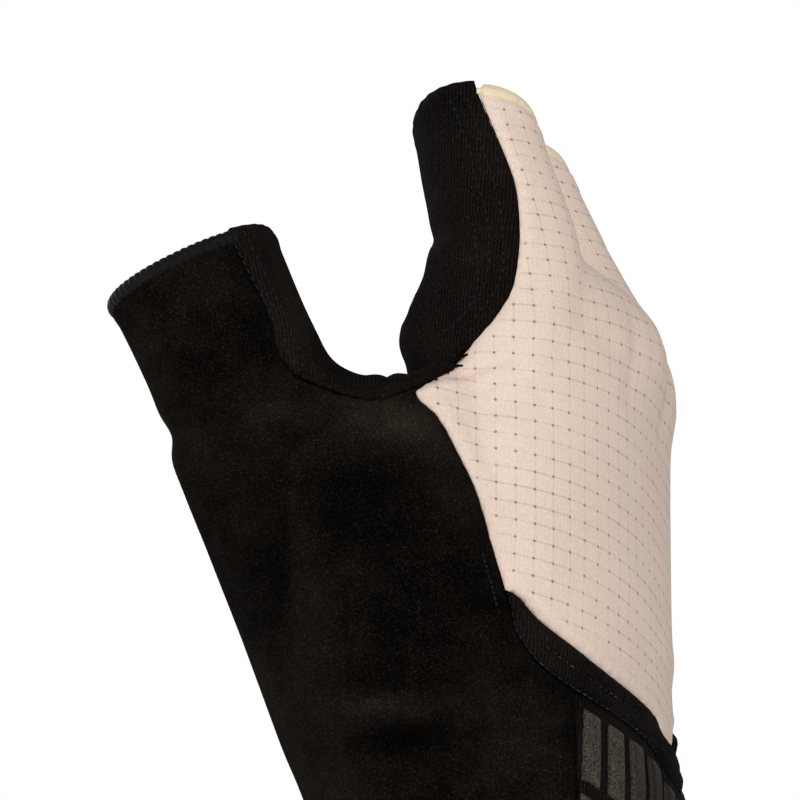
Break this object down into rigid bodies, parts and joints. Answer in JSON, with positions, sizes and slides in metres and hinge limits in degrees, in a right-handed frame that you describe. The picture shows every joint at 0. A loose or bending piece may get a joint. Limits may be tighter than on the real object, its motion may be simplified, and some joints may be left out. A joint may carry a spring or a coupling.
{
  "type": "half-finger cycling glove",
  "caption": "Right-hand half-finger cycling glove in its worn form: perforated stretch back, suede palm and thumb, knit side panels, bound openings and a cuff with raised grip bars.",
  "frame": {"origin": "middle of the wrist opening, in the plane of its edge", "axes": "+Z from the wrist to the fingers, +X out of the back of the hand, -X out of the palm, -Y towards the thumb and the index finger, +Y towards the little finger"},
  "size_m": [0.0876, 0.1044, 0.15],
  "materials": {
    "pale_cloth": "fine knit with a perforated grid",
    "suede": "napped matte",
    "knit": "fine-rib matte",
    "cream_elastic": "woven elastic",
    "grip_rubber": "satin"
  },
  "bodies": {
    "root": {"back_panel": "pale_cloth", "palm_panel": "suede", "index_side_panel": "knit", "thumb_inner_panel": "knit", "web_binding": "knit", "thumb_hem": "knit", "index_hem": "cream_elastic", "middle_hem": "cream_elastic", "ring_hem": "cream_elastic", "little_hem": "cream_elastic", "cuff": "knit", "cuff_band": "knit", "grip_bar_1_1": "grip_rubber", "grip_bar_1_2": "grip_rubber", "grip_bar_1_3": "grip_rubber", "grip_bar_1_4": "grip_rubber", "grip_bar_1_5": "grip_rubber", "grip_bar_1_6": "grip_rubber", "grip_bar_1_7": "grip_rubber", "grip_bar_1_8": "grip_rubber", "grip_bar_1_9": "grip_rubber", "grip_bar_1_10": "grip_rubber", "grip_bar_1_11": "grip_rubber", "grip_bar_1_12": "grip_rubber", "grip_bar_1_13": "grip_rubber", "grip_bar_2_1": "grip_rubber", "grip_bar_2_2": "grip_rubber", "grip_bar_2_3": "grip_rubber", "grip_bar_2_4": "grip_rubber", "grip_bar_2_5": "grip_rubber", "grip_bar_2_6": "grip_rubber", "grip_bar_2_7": "grip_rubber", "grip_bar_2_8": "grip_rubber", "grip_bar_2_9": "grip_rubber", "grip_bar_2_10": "grip_rubber", "grip_bar_2_11": "grip_rubber", "grip_bar_2_12": "grip_rubber", "grip_bar_2_13": "grip_rubber"}
  },
  "joints": []
}
